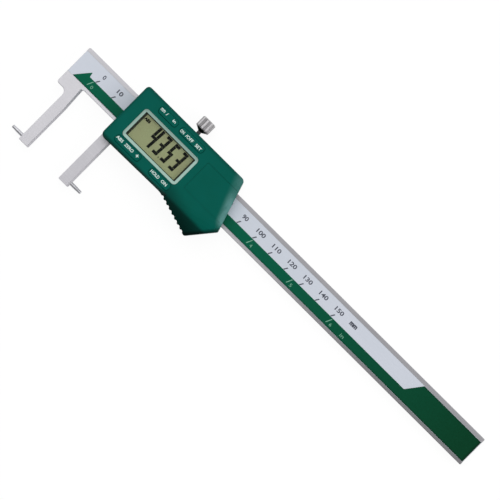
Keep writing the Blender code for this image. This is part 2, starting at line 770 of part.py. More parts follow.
def roll_cutter(parent):
    """Takes the thumb rest down on a cylinder that leaves the front level, on a line from edge to side."""
    corners = housing_corners()
    start = Vector(corners[1][:2]) - Vector((ROLL_SETBACK, 0))
    end = Vector(corners[3][:2]) + Vector((0, ROLL_SETBACK))
    facet = ROLL_END_ANGLE / ROLL_FACETS
    rise = ROLL_RADIUS * (1 - math.cos(facet))
    outline = [(-ROLL_RADIUS * math.sin(facet), rise)]
    for step in range(1, ROLL_FACETS + 1):
        outline.append((ROLL_RADIUS * math.sin(facet * step), ROLL_RADIUS * (math.cos(facet * step) - 1)))
    end_x, end_y = outline[-1]
    outline += [(end_x + 2 * OVER, end_y - 2 * OVER), (end_x + 2 * OVER, OVER)]
    outline.append((outline[0][0], OVER))
    margin = slider_length / 4
    return bar_along("thumb_roll", outline, start, end, (margin, margin), HOUSING_FRONT, parent)


def housing_blank(parent):
    """The housing's outer form: its outline, the chamfer at the right, the thumb rest and rounded edges."""
    corners = housing_corners()
    blank = prism("housing_blank", [rounded(corners)], HOUSING_BOTTOM, HOUSING_FRONT, parent)
    nose, top_right = corners[3][:2], corners[4][:2]
    margins = (3 * OVER, 3 * OVER)
    size = (CHAMFER_WIDTH, CHAMFER_DROP)
    cut(blank, roll_cutter(parent))
    cut(blank, bevel_cutter("side_chamfer", nose, top_right, margins, *size, HOUSING_FRONT, parent))
    foot, bend = (corners[0][0], housing_low - LOWER_CHAMFER_TAPER), corners[1][:2]
    size = (LOWER_CHAMFER_WIDTH, LOWER_CHAMFER_DROP)
    cut(blank, bevel_cutter("lower_chamfer", foot, bend, margins, *size, HOUSING_FRONT, parent))
    mesh = mesh_of(blank)
    bpy.data.objects.remove(blank)
    work = bmesh.new()
    work.from_mesh(mesh)
    work.normal_update()
    weight = work.edges.layers.float.new("bevel_weight_edge")
    for edge in work.edges:
        slopes = sorted(face.normal.z for face in edge.link_faces)
        if len(slopes) == 2 and abs(slopes[0]) < 0.3 and slopes[1] > SHARP_CHAMFER:
            edge[weight] = 1.0
    work.to_mesh(mesh)
    work.free()
    blank = add_object("housing_blank", mesh, parent, None)
    edges = blank.modifiers.new("edges", "BEVEL")
    edges.width = HOUSING_EDGE
    edges.segments = 2
    edges.limit_method = "WEIGHT"
    edges.use_clamp_overlap = False
    edges.loop_slide = False
    return blank


def cover_space(name, gap, parent):
    """The battery cover's outline as a solid: a plate, and a lip that wraps down the slanted side."""
    low = cell_line - COVER_HEIGHT / 2 - gap
    high = cell_line + COVER_HEIGHT / 2 + gap
    corners = housing_corners()
    nose, top_right = Vector(corners[3][:2]), Vector(corners[4][:2])
    slant = (top_right.x - nose.x) / (top_right.y - nose.y)
    far = nose_reach + OVER
    plate = rounded(rectangle(cover_left - gap, low, far, high))
    top = HOUSING_FRONT + OVER
    space = prism(name, [plate], cover_back - gap, top, parent)
    inner = nose.x - CHAMFER_WIDTH - COVER_LIP - gap
    lip = [
        (inner + slant * (low - nose.y), low),
        (far, low),
        (far, high),
        (inner + slant * (high - nose.y), high),
    ]
    join(space, prism(name + "_lip", [lip], COVER_LIP_LOW - gap, top - OVER / 2, parent))
    return space


def tongue_outline(gap, travel):
    """The cover's two side tongues as one plate or, with a gap and a travel, the slot that they run in."""
    low = cell_line - COVER_HEIGHT / 2 - COVER_TONGUE_REACH - gap
    high = cell_line + COVER_HEIGHT / 2 + COVER_TONGUE_REACH + gap
    left = cover_left - COVER_TONGUE_REACH - gap
    return rounded(rectangle(left, low, cover_left + COVER_TONGUE_LENGTH + gap + travel, high))


def build_housing(parent):
    """The moulded housing: the outer form, hollowed for frame, board, display, keys and battery."""
    blank = housing_blank(parent)
    housing = add_object("housing", mesh_of(blank), parent, "green_plastic")
    back = HOUSING_BOTTOM - OVER
    pocket_low, pocket_high = frame_low - RUN_GAP, frame_high + RUN_GAP
    pocket_right = slider_length + RUN_GAP

    frame_pocket = rounded(rectangle(-4 * OVER, pocket_low, pocket_right, pocket_high))
    cut(housing, prism("frame_pocket", [frame_pocket], back, frame_front + SEAT_GAP, parent))
    cavity = rounded(rectangle(
        HOUSING_WALL, housing_low + HOUSING_WALL, cavity_right, housing_high - HOUSING_WALL, CAVITY_CORNER
    ))
    cut(housing, prism("display_cavity", [cavity], frame_front, wall_back, parent))
    board_pocket = rounded(rectangle(cavity_right - OVER, pocket_low, pocket_right, pocket_high))
    cut(housing, prism("board_pocket", [board_pocket], frame_front - OVER, boss_back, parent))
    leg_notch = rounded(rectangle(
        -4 * OVER, housing_low - OVER, LEG_WIDTH + LEG_ROOT_FILLET + RUN_GAP, pocket_low + OVER
    ))
    cut(housing, prism("leg_notch", [leg_notch], back, lip_back, parent))
    beam_exit = rounded(rectangle(
        slider_length - OVER, -BEAM_EXIT_GAP, nose_reach + OVER, BEAM_WIDTH + BEAM_EXIT_GAP
    ))
    cut(housing, prism("beam_exit", [beam_exit], back, beam_front + BEAM_EXIT_GAP, parent))

    for index, (x, y) in enumerate(back_screw_places()[:2]):
        name = "boss_" + str(index + 1)
        top = wall_back + OVERLAP
        join(housing, rod(name, BOSS_DIAMETER, boss_back, top, ROUND_STEPS, parent, None, (x, y, 0)))
    for index, (x, y) in enumerate(back_screw_places()):
        cut(housing, back_screw_hole("housing_hole_" + str(index + 1), x, y, parent))

    flange_back = HOUSING_FRONT + BEZEL_PROUD - BEZEL_FLANGE
    rebate = rounded(bezel_corners(-SEAT_GAP))
    cut(housing, prism("bezel_rebate", [rebate], flange_back - SEAT_GAP, HOUSING_FRONT + OVER, parent))
    neck = rounded(bezel_corners(BEZEL_LEDGE - SEAT_GAP))
    cut(housing, prism("bezel_opening", [neck], wall_back - OVER, HOUSING_FRONT + OVER, parent))
    low, high = wall_back - OVER, HOUSING_FRONT + OVER
    for name, left, length, line in keys():
        outline = key_outline(length, KEY_GAP)
        place = (left + length / 2, line, 0)
        cut(housing, prism(name + "_opening", [outline], low, high, parent, None, place))

    bores = [("lock_opening", LOCK_PLACE, LOCK_STEM_DIAMETER + 2 * LOCK_OPENING_GAP)]
    for index, x in enumerate(gib_screw_places):
        bores.append(("gib_access_" + str(index + 1), x, GIB_SCREW_DIAMETER + 2 * SCREW_ACCESS_GAP))
    low, high = pocket_high - OVER / 2, housing_high + OVER
    for name, x, bore in bores:
        cut(housing, rod(name, bore, low, high, ROUND_STEPS, parent, None, (x, 0, lock_height), ALONG_Y))

    low = boss_back - OVER / 2
    well = circle(cell_place, cell_line, CELL_DIAMETER / 2 + CELL_GAP, 2 * ROUND_STEPS)
    cut(housing, prism("cell_well", [well], low, HOUSING_FRONT, parent))
    half = CONTACT_WIDTH / 2 + CELL_GAP
    slot_left = cell_place - CELL_DIAMETER / 2 - CONTACT_FOOT - 2 * CELL_GAP
    slot = rounded(rectangle(slot_left, cell_line - half, cell_place, cell_line + half))
    cut(housing, prism("contact_slot", [slot], low, boss_back + CONTACT_HEIGHT + CELL_GAP, parent))
    cut(housing, cover_space("cover_opening", COVER_GAP, parent))
    slot = tongue_outline(COVER_GAP, COVER_TRAVEL)
    cut(housing, prism("tongue_slot", [slot], tongue_back - COVER_GAP, cover_back + COVER_GAP, parent))

    for index, (x, y) in enumerate(grip_places()):
        name = "grip_" + str(index + 1)
        groove = circle(x, y, GRIP_RADIUS, SMALL_STEPS)
        cut(housing, prism(name, [groove], back, HOUSING_FRONT + OVER, parent))
    cut_thumb_pockets(housing, parent)

    cover = add_object("battery_cover", mesh_of(blank), parent, "green_plastic")
    boolean(cover, cover_space("cover_body", 0.0, parent), "INTERSECT")
    tongues = tongue_outline(0.0, 0.0)
    join(cover, prism("cover_tongues", [tongues], tongue_back, cover_back + SEAT_GAP, parent))
    bpy.data.objects.remove(blank)


def grip_places():
    """The centres of the grooves along the thumb rest's slope."""
    corners = housing_corners()
    slope, thumb = Vector(corners[1][:2]), Vector(corners[2][:2])
    run = thumb - slope
    along = run.normalized()
    outwards = Vector((along.y, -along.x)) * (GRIP_RADIUS - GRIP_DEPTH)
    count = int((run.length - 2 * GRIP_MARGIN) / GRIP_PITCH) + 1
    first = (run.length - (count - 1) * GRIP_PITCH) / 2
    return [tuple(slope + along * (first + GRIP_PITCH * step) + outwards) for step in range(count)]


def cut_thumb_pockets(housing, parent):
    """Hollows the thumb rest from behind, which leaves its walls and two ribs."""
    wall = HOUSING_WALL + GRIP_DEPTH
    inner = inset(housing_corners(), wall, 0)
    high = frame_low - RUN_GAP - HOUSING_WALL
    slope, thumb, nose = (Vector(corner[:2]) for corner in inner[1:4])

    def at_height(start, end, y):
        return start.x + (end.x - start.x) * (y - start.y) / (end.y - start.y)

    left, right = at_height(slope, thumb, high), at_height(nose, thumb, high)
    corner = THUMB_RIB / 2
    pocket = [(left, high, corner), (thumb.x, thumb.y, corner), (right, high, corner)]
    back = HOUSING_BOTTOM - 1.0 * MM
    cut(housing, prism("thumb_pocket", [rounded(pocket)], back, THUMB_POCKET_ROOF, parent))
    for index in range(2):
        x = left + (right - left) * (index + 1.2) / 3
        low = min(thumb.y, high) - wall / 2
        rib_low = max(low, slope.y + (thumb.y - slope.y) * (x - slope.x) / (thumb.x - slope.x) - wall / 2)
        rib = rounded(rectangle(x - THUMB_RIB / 2, rib_low, x + THUMB_RIB / 2, high + wall / 2))
        top = THUMB_POCKET_ROOF + wall / 4
        join(housing, prism("thumb_rib_" + str(index + 1), [rib], HOUSING_BOTTOM + SEAT_GAP, top, parent))


def bezel_corners(distance):
    """The bezel's outline moved inwards by a distance."""
    radius = max(BEZEL_CORNER - distance, WINDOW_CORNER)
    right, high = bezel_right - distance, bezel_high - distance
    return rectangle(BEZEL_LEFT + distance, BEZEL_LOW + distance, right, high, radius)


def build_display(parent):
    """The bezel with its clear window, the display panel, its holder and its rubber connector."""
    flange_back = bezel_front - BEZEL_FLANGE
    opening = rounded(bezel_corners(BEZEL_RIM))
    flange = [rounded(bezel_corners(0)), opening]
    bezel = prism("lcd_bezel", flange, flange_back, bezel_front, parent, "pale_plastic")
    soften(bezel, BEZEL_EDGE)
    neck = [rounded(bezel_corners(BEZEL_LEDGE)), opening]
    join(bezel, prism("bezel_neck", neck, window_back, flange_back + BEZEL_FLANGE / 2, parent))
    pane = rounded(bezel_corners(BEZEL_RIM + SEAT_GAP))
    prism("lcd_window", [pane], window_back, window_back + WINDOW_THICKNESS, parent, "clear_plastic")

    outline = bezel_corners(PANEL_INSET)
    prism("lcd_panel", [rounded(inset(outline, 0, 0))], panel_back, panel_front, parent, "lcd")
    low, high = boss_back, panel_back - SEAT_GAP
    ring = [rounded(inset(outline, 0, HOLDER_WALL)), rounded(inset(outline, HOLDER_WALL, 0))]
    prism("lcd_holder", ring, low, high, parent, "white_plastic")
    corners = inset(outline, HOLDER_WALL + SEAT_GAP, 0)
    right, top = corners[2][:2]
    left = corners[0][0]
    bar = rounded(rectangle(left + CONNECTOR_INSET, top - CONNECTOR_WIDTH, right - CONNECTOR_INSET, top))
    prism("lcd_connector", [bar], low, high, parent, "rubber")


def domed(diameter, height):
    """The profile of a low dome on a flat base."""
    radius = diameter / 2
    arc = [(radius * math.sin(angle), height * math.cos(angle)) for angle in (0, math.pi / 6, math.pi / 3)]
    return arc + [(radius, 0), (0, 0)]


def build_board(parent):
    """The circuit board, the processor under its drop of resin and the domes under the keys."""
    left, middle, right = HOUSING_WALL, cavity_right, slider_length
    gap = 4 * SEAT_GAP
    low, high = housing_low + HOUSING_WALL + gap, frame_high - gap
    corners = [
        (left + gap, low, BOARD_EDGE / 2),
        (middle - gap, low, BOARD_EDGE / 2),
        (middle - gap, frame_low + gap, 0),
        (right - gap, frame_low + gap, BOARD_EDGE / 2),
        (right - gap, high, BOARD_EDGE / 2),
        (left + gap, high, BOARD_EDGE / 2),
    ]
    holes = [circle(x, y, SCREW_DIAMETER / 2 + SEAT_GAP, SMALL_STEPS) for x, y in back_screw_places()]
    prism("circuit_board", [rounded(corners), *holes], board_back, board_front, parent, "board")
    place = (BEZEL_LEFT + BEZEL_LENGTH / 2, BEZEL_LOW + BEZEL_HEIGHT / 3, boss_back)
    turned("processor", domed(CHIP_SIZE, CHIP_HEIGHT), SMALL_STEPS, parent, "rubber", place)
    for name, start, length, line in keys():
        place = (start + length / 2, line, boss_back)
        turned(name + "_dome", domed(DOME_DIAMETER, DOME_HEIGHT), SMALL_STEPS, parent, "steel", place)


def keys():
    """Each key's name, left end, length and the line that it is centred on."""
    units, zero = BEZEL_LEFT + UNITS_KEY_INSET, BEZEL_LEFT - ZERO_KEY_OUTSET
    power = units + UNITS_KEY_LENGTH + UPPER_KEYS_GAP
    hold = zero + ZERO_KEY_LENGTH + LOWER_KEYS_GAP
    return [
        ("units_key", units, UNITS_KEY_LENGTH, upper_key_line),
        ("power_key", power, bezel_right - POWER_KEY_INSET - power, upper_key_line),
        ("zero_key", zero, ZERO_KEY_LENGTH, lower_key_line),
        ("hold_key", hold, bezel_right - HOLD_KEY_INSET - hold, lower_key_line),
    ]


def key_outline(length, gap):
    half, rise = length / 2 + gap, KEY_HEIGHT / 2 + gap
    return rounded(rectangle(-half, -rise, half, rise, KEY_CORNER + gap))


def build_keys(parent):
    """Each key: a cap through the front wall, a flange that keeps it in and a plunger over its dome."""
    flange_front = wall_back - SEAT_GAP
    flange_back = flange_front - KEY_FLANGE_THICKNESS
    plunger_back = boss_back + DOME_HEIGHT + KEY_TRAVEL + SEAT_GAP
    front = HOUSING_FRONT + KEY_PROUD
    for name, left, length, line in keys():
        place = Vector((left + length / 2, line, front))
        low = flange_back + SEAT_GAP - front
        cap = prism(name, [key_outline(length, 0)], low, 0, parent, "green_plastic", place)
        soften(cap, KEY_EDGE)
        base = (*place.xy, 0)
        flange = key_outline(length, KEY_FLANGE)
        join(cap, prism(name + "_flange", [flange], flange_back, flange_front, parent, None, base))
        top = flange_back + OVERLAP
        plunger = name + "_plunger"
        join(cap, rod(plunger, KEY_PLUNGER_DIAMETER, plunger_back, top, SMALL_STEPS, parent, None, base))


def upright(name, outline, x, z, width, parent, finish):
    """A strip of sheet bent to an outline seen from the front edge: (distance along X, height)."""
    piece = prism(name, [outline], -width / 2, width / 2, parent, finish, (x, cell_line, z))
    piece.rotation_euler = (math.radians(90), 0, 0)
    return piece


def build_battery(parent):
    """The button cell and the two sheet contacts that touch its base and its side."""
    radius = CELL_DIAMETER / 2
    edge = CELL_EDGE
    step = CELL_HEIGHT / 5
    profile = [
        (0, cell_front),
        (radius - edge, cell_front),
        (radius, cell_front - edge),
        (radius, cell_back + step),
        (radius - 2 * edge, cell_back + step - edge),
        (radius - 2 * edge, cell_back),
        (0, cell_back),
    ]
    turned("battery", profile, ROUND_STEPS * 2, parent, "chrome", (cell_place, cell_line, 0))
    rise = cell_back - SEAT_GAP - boss_back
    sheet = CONTACT_THICKNESS
    reach = radius - 4 * edge
    leaf = [
        (-reach, 0),
        (-reach / 2, 0),
        (reach / 2, rise - sheet),
        (reach, rise - sheet),
        (reach, rise),
        (reach / 2, rise),
        (-reach / 2, sheet),
        (-reach, sheet),
    ]
    upright("battery_contact_base", leaf, cell_place, boss_back, CONTACT_WIDTH, parent, "steel")
    tall, foot = CONTACT_HEIGHT, CONTACT_FOOT
    side = [(0, 0), (0, tall), (-sheet, tall), (-sheet, sheet), (-foot, sheet), (-foot, 0)]
    place = cell_place - radius - SEAT_GAP
    upright("battery_contact_side", side, place, boss_back, CONTACT_WIDTH, parent, "steel")


def build_lock(parent):
    """The knurled lock screw on its axis, and the brass shoe at its nose."""
    axis = frame_empty("lock_axis", (LOCK_PLACE, 0, lock_height), parent)
    radius, stem = KNOB_DIAMETER / 2, LOCK_STEM_DIAMETER / 2
    profile = [
        (0, knob_high),
        (radius - KNOB_EDGE, knob_high),
        (radius, knob_high - KNOB_EDGE),
        (radius, knob_low + KNOB_TAPER),
        (stem + KNOB_EDGE, knob_low),
        (stem, knob_low - KNOB_EDGE / 2),
        (stem, stem_low + KNOB_EDGE / 2),
        (stem - KNOB_EDGE / 2, stem_low),
        (0, stem_low),
    ]
    screw = turned("lock_screw", profile, KNURL_COUNT * 2, axis, "chrome", (0, 0, 0), ALONG_Y)
    teeth = []
    for index in range(KNURL_COUNT * 2):
        angle = math.pi * (index + 0.5) / KNURL_COUNT
        reach = radius + KNURL_DEPTH / 2 if index % 2 else radius - KNURL_DEPTH
        teeth.append((reach * math.cos(angle), reach * math.sin(angle)))
    knurl = prism(
        "knurl", [circle(0, 0, radius + OVER), teeth], knob_low + KNOB_TAPER / 2, knob_high + OVER, axis
    )
    knurl.rotation_euler = ALONG_Y
    cut(screw, knurl)
    shoe = LOCK_STEM_DIAMETER - 2 * SEAT_GAP
    rod("lock_shoe", shoe, shoe_low, shoe_low + SHOE_LENGTH, SMALL_STEPS, axis, "brass", (0, 0, 0), ALONG_Y)


def main():
    caliper = frame_empty("caliper", (-middle_x, -middle_y, 0))
    build_beam(caliper)
    build_pin("fixed_tip", FIXED_LEG_LEFT, ALONG_MINUS_X, caliper)
    build_scale(caliper)
    build_end_stop(caliper)
    slider = frame_empty("slider", (slider_left, 0, 0), caliper)
    build_frame(slider)
    build_pin("sliding_tip", LEG_WIDTH, ALONG_X, slider)
    build_gib(slider)
    build_back_plate(slider)
    build_housing(slider)
    build_display(slider)
    build_board(slider)
    build_keys(slider)
    build_battery(slider)
    build_lock(slider)
    bpy.context.view_layer.update()


main()
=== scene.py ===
"""Looks of the digital inside caliper: materials, printed scale, display and key legends, light and camera.

Places on the beam and on the slider are in millimetres from the beam's left end and its lower edge.
"""
import math

import bmesh
import bpy
from mathutils import Matrix, Vector


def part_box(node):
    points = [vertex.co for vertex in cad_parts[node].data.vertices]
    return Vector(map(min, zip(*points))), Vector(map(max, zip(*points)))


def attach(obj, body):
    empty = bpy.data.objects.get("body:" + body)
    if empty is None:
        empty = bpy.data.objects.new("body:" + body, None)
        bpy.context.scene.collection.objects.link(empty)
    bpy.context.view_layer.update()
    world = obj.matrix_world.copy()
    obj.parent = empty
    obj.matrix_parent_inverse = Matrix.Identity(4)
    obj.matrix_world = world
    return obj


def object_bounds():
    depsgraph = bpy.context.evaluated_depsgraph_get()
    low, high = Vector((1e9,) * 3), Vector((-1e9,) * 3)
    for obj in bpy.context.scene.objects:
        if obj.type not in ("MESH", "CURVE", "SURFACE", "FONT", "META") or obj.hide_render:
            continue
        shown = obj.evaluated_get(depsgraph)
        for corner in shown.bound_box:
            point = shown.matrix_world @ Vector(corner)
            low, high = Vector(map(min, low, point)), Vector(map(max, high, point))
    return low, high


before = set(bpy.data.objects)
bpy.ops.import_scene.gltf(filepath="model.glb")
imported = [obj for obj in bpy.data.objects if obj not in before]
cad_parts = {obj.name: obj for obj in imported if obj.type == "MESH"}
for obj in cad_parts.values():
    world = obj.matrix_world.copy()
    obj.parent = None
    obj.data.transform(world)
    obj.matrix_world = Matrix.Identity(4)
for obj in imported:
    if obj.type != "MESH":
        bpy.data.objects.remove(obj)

MM = 0.001
BEAM_WIDTH = 16.0 * MM
LABEL_END_GAP = 0.2 * MM

cad_low, cad_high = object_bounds()
BEAM_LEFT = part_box("scale_label")[0].x - LABEL_END_GAP
BEAM_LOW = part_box("beam")[1].y - BEAM_WIDTH


def place(x, y, z):
    """A point given in millimetres along and across the beam, at a height in metres."""
    return Vector((BEAM_LEFT + x * MM, BEAM_LOW + y * MM, z))


# Materials

# Noise keeps mostly between these levels
NOISE_LOW, NOISE_HIGH = 0.25, 0.75


class Shading:
    """A node material with its Principled shader and short calls for adding nodes."""

    def __init__(self, name, **inputs):
        self.material = bpy.data.materials.new(name)
        self.material.use_nodes = True
        self.tree = self.material.node_tree
        self.shader = self.tree.nodes["Principled BSDF"]
        self.where = self.add("TexCoord").outputs
        for key, value in inputs.items():
            self.set(key.replace("_", " ").title(), value)

    def set(self, socket, value):
        """Gives the shader a value on its own socket."""
        self.shader.inputs[socket].default_value = value

    def wire(self, output, socket):
        """Links an output to the shader."""
        self.tree.links.new(output, self.shader.inputs[socket])

    def feed(self, socket, value):
        """Gives a node's socket a value, or links it to the output of another node."""
        if isinstance(value, bpy.types.NodeSocket):
            self.tree.links.new(value, socket)
        else:
            socket.default_value = value

    def add(self, kind, settings=None, values=(), **inputs):
        """Adds a node with its settings, its first inputs in order and other inputs by name."""
        node = self.tree.nodes.new("ShaderNode" + kind)
        for key, value in (settings or {}).items():
            setattr(node, key, value)
        for socket, value in zip(node.inputs, values):
            self.feed(socket, value)
        for key, value in inputs.items():
            self.feed(node.inputs[key], value)
        return node

    def math(self, operation, first, second):
        return self.add("Math", {"operation": operation}, (first, second)).outputs[0]

    def product(self, *values):
        """The product of two or more values."""
        result = values[0]
        for value in values[1:]:
            result = self.math("MULTIPLY", result, value)
        return result

    def map_range(self, value, start, end, low, high, curve="LINEAR"):
        """Goes from low to high while the value goes from start to end."""
        made = self.add("MapRange", {"clamp": True, "interpolation_type": curve}, Value=value)
        for socket, number in zip(("From Min", "From Max", "To Min", "To Max"), (start, end, low, high)):
            made.inputs[socket].default_value = number
        return made.outputs["Result"]

    def ramp(self, value, start, end, low, high):
        """Goes smoothly from low to high while the value goes from start to end."""
        return self.map_range(value, start, end, low, high, "SMOOTHSTEP")

    def between(self, noise, low, high):
        """Values from low to high as the noise rises."""
        return self.map_range(noise, NOISE_LOW, NOISE_HIGH, low, high)

    def noise(self, scale, detail=3.0, roughness=0.5):
        """Noise in object coordinates with this many features per metre along each axis."""
        vector = self.add("Mapping", None, Vector=self.where["Object"], Scale=scale).outputs["Vector"]
        made = self.add("TexNoise", None, Vector=vector, Scale=1.0, Detail=detail, Roughness=roughness)
        return made.outputs["Fac"]

    def inside(self, start, end):
        """The distance inside the line from start to end, in metres, where inside is on its left."""
        first, last = place(*start, 0.0), place(*end, 0.0)
        along = (last - first).normalized()
        inwards = Vector((-along.y, along.x, 0.0))
        apart = self.add("VectorMath", {"operation": "SUBTRACT"}, (self.where["Object"], first))
        reach = self.add("VectorMath", {"operation": "DOT_PRODUCT"}, (apart.outputs["Vector"], inwards))
        return reach.outputs["Value"]

    def fade(self, line, start, end, low, high):
        """Goes smoothly from low to high from start to end, in millimetres inside a line."""
        return self.ramp(self.inside(*line), start * MM, end * MM, low, high)

    def edges(self, rows):
        """One tone for a face with darker edges, from rows of a line, its reach in and its tone."""
        return self.product(*(self.fade(line, 0.0, reach, tone, 1.0) for line, reach, tone in rows))

    def mix(self, kind, first_input, share, plain, other):
        """The outputs of a Mix node of this kind, whose two values begin at this input."""
        made = self.add("Mix", {"data_type": kind})
        for index, value in ((0, share), (first_input, plain), (first_input + 1, other)):
            self.feed(made.inputs[index], value)
        return made.outputs

    def toned(self, share, tone, plain=1.0):
        """The tone where the share is 1, and the plain tone where it is 0."""
        return self.mix("FLOAT", 2, share, plain, tone)[0]

    def colours(self, share, plain, other):
        """The other colour where the share is 1, and the plain one where it is 0."""
        ends = [end if isinstance(end, bpy.types.NodeSocket) else (*end, 1.0) for end in (plain, other)]
        return self.mix("RGBA", 6, share, *ends)[2]

    def scaled(self, colour, tone):
        """A colour made darker by a tone."""
        return self.add("VectorMath", {"operation": "SCALE"}, (colour,), Scale=tone).outputs["Vector"]

    def bump(self, height, distance, strength):
        """Roughens the surface by a height of this many metres."""
        made = self.add("Bump", None, Height=height, Distance=distance, Strength=strength)
        self.wire(made.outputs["Normal"], "Normal")


# Lines whose inside distance is the height above the beam's lower edge, and the way from its left end
LOWER_EDGE_LINE = ((0.0, 0.0), (1.0, 0.0))
LEFT_END_LINE = ((0.0, 1.0), (0.0, 0.0))

# The thumb rest's lower edge, from the bend to the tip, and the painted shade that darkens the plastic
# above it
THUMB_REST_BEND, THUMB_REST_TIP = (70.6, -8.2), (89.9, -14.4)
REST_SHADE_REACH, REST_SHADE_TONE = 9.5, 0.44
REST_SHADE_FROM, REST_SHADE_FADE = 75.6, 10.0
# The painted shade's tone on faces that look sideways, and how far a face looks up when it has its full
# tone
SIDE_SHADE_TONE, FACING_UP = 0.9, 0.6

# Painted shade along the housing's edges: the line of each, how far in it reaches and its tone at the edge
NOSE = (99.6, -2.4)
SHADED_EDGES = (
    (((0.0, THUMB_REST_BEND[1]), (1.0, THUMB_REST_BEND[1])), 2.1, 0.35),
    ((THUMB_REST_TIP, NOSE), 1.8, 0.30),
    (((1.0, 22.7), (0.0, 22.7)), 2.6, 0.70),
    (((31.2, 1.0), (31.2, 0.0)), 2.0, 0.75),
)

# Painted shade makes the bezel's upper and left rims darker than the others, given in the same way
SHADED_RIMS = (
    (((1.0, 14.6), (0.0, 14.6)), 2.6, 0.66),
    (((37.4, 1.0), (37.4, 0.0)), 2.6, 0.72),
)

# A painted highlight makes the side chamfer and the front beside it paler, less towards the nose and the
# top corner
HIGHLIGHT_LINE = ((96.3, 0.0), (90.6, 14.0))
HIGHLIGHT_OUTSIDE, HIGHLIGHT_INSIDE = -2.5, 1.2
HIGHLIGHT_FROM, HIGHLIGHT_FULL, HIGHLIGHT_FADING, HIGHLIGHT_FADED = -2.0, 2.0, 9.0, 16.0
HIGHLIGHT_TOP_SHARE = 0.35
HIGHLIGHT_STREAKS, HIGHLIGHT_STREAK_LEAST = (500.0, 160.0, 160.0), 0.55
HIGHLIGHT_COLOUR = (0.150, 0.360, 0.345)


def handled(made, colour):
    """Paints shade on the thumb rest and the housing's edges where they look up, and a painted highlight on
    the side chamfer.
    """
    # Painted shade: the thumb rest is darkened above its lower edge and the housing's edges are darkened,
    # more where they look up
    rest = made.fade((THUMB_REST_BEND, THUMB_REST_TIP), 0.0, REST_SHADE_REACH, REST_SHADE_TONE, 1.0)
    left_of_rest = made.fade(((REST_SHADE_FROM, 0.0), (REST_SHADE_FROM, 1.0)), 0.0, REST_SHADE_FADE, 0.0, 1.0)
    tone = made.product(made.math("MAXIMUM", rest, left_of_rest), made.edges(SHADED_EDGES))
    tilt = made.add("SeparateXYZ", None, (made.where["Normal"],))
    facing_up = made.ramp(tilt.outputs["Z"], 0.0, FACING_UP, 0.0, 1.0)
    dark = made.scaled(colour, made.toned(facing_up, tone, SIDE_SHADE_TONE))
    # Painted highlight: the side chamfer and the front beside it are turned paler, in streaks
    pale = made.product(
        made.fade(HIGHLIGHT_LINE, HIGHLIGHT_OUTSIDE, HIGHLIGHT_INSIDE, 1.0, 0.0),
        made.fade(LOWER_EDGE_LINE, HIGHLIGHT_FROM, HIGHLIGHT_FULL, 0.0, 1.0),
        made.fade(LOWER_EDGE_LINE, HIGHLIGHT_FADING, HIGHLIGHT_FADED, 1.0, HIGHLIGHT_TOP_SHARE),
        made.between(made.noise(HIGHLIGHT_STREAKS, 3.0, 0.6), HIGHLIGHT_STREAK_LEAST, 1.0),
    )
    return made.colours(pale, dark, HIGHLIGHT_COLOUR)


# The beam is darker above the label, and below it from the jaw on, more so towards its far end
UPPER_EDGE, UPPER_START, UPPER_END = 14.0, 20.0, 95.0
UPPER_TONE_START, UPPER_TONE_END = 0.86, 0.62
LOWER_EDGE, LOWER_START, LOWER_END = 1.6, 11.9, 210.0
LOWER_TONE_START, LOWER_TONE_END = 1.0, 0.40
BAND_BLEND = 0.1


def edge_bands(made, base):
    """Darkens the bare strips of the beam beside its label."""
    above = made.fade(LOWER_EDGE_LINE, UPPER_EDGE - BAND_BLEND, UPPER_EDGE + BAND_BLEND, 0.0, 1.0)
    upper_tone = made.fade(LEFT_END_LINE, UPPER_START, UPPER_END, UPPER_TONE_START, UPPER_TONE_END)
    below = made.product(
        made.fade(LOWER_EDGE_LINE, LOWER_EDGE - BAND_BLEND, LOWER_EDGE + BAND_BLEND, 1.0, 0.0),
        made.fade(LEFT_END_LINE, LOWER_START, LOWER_START + BAND_BLEND, 0.0, 1.0),
    )
    lower_tone = made.fade(LEFT_END_LINE, LOWER_START, LOWER_END, LOWER_TONE_START, LOWER_TONE_END)
    return made.scaled(base, made.product(made.toned(above, upper_tone), made.toned(below, lower_tone)))


# Painted shade makes the lock screw's stem and the knob's lower chamfer dark
STEM_SHADED, STEM_UNSHADED, STEM_TONE = 25.0, 26.2, 0.12


def oiled_stem(made, base):
    """Paints shade on the lock screw's stem and the knob's lower chamfer."""
    return made.scaled(base, made.fade(LOWER_EDGE_LINE, STEM_SHADED, STEM_UNSHADED, STEM_TONE, 1.0))


SCRATCHES, SCRATCH_DEPTH = (60.0, 9000.0, 9000.0), 0.004 * MM
STEEL_CLOUDS = (60.0, 60.0, 60.0)
WORN_SHARE, WORN_TONE = 0.25, 0.86
# How far the painted shade in hollows reaches
HOLLOW_SHADE_REACH = 0.9 * MM


def ground_steel(name, low, high, roughness, hollow_shade=0.0, finish=None):
    """Ground steel: fine scratches along the beam, a slow change of tone and painted shade in its hollows.
    """
    made = Shading(name, metallic=1.0)
    scratches = made.noise(SCRATCHES, 4.0, 0.65)
    base = made.colours(made.between(scratches, 0.0, 1.0), low, high)
    clouds = made.between(made.noise(STEEL_CLOUDS, 2.0), 0.0, WORN_SHARE)
    wear_and_shade = made.colours(clouds, base, tuple(level * WORN_TONE for level in low))
    if hollow_shade:
        # Painted shade: ambient occlusion darkens the hollows, such as the knob's grooves
        hollow = made.add("AmbientOcclusion", {"only_local": True, "samples": 8}, Distance=HOLLOW_SHADE_REACH)
        wear_and_shade = made.colours(made.between(hollow.outputs["AO"], 1.0 - hollow_shade, 1.0), (0.0, 0.0, 0.0), wear_and_shade)
    if finish:
        wear_and_shade = finish(made, wear_and_shade)
    made.wire(wear_and_shade, "Base Color")
    made.wire(made.between(scratches, roughness - 0.07, roughness + 0.08), "Roughness")
    made.bump(scratches, SCRATCH_DEPTH, 0.3)
    return made.material


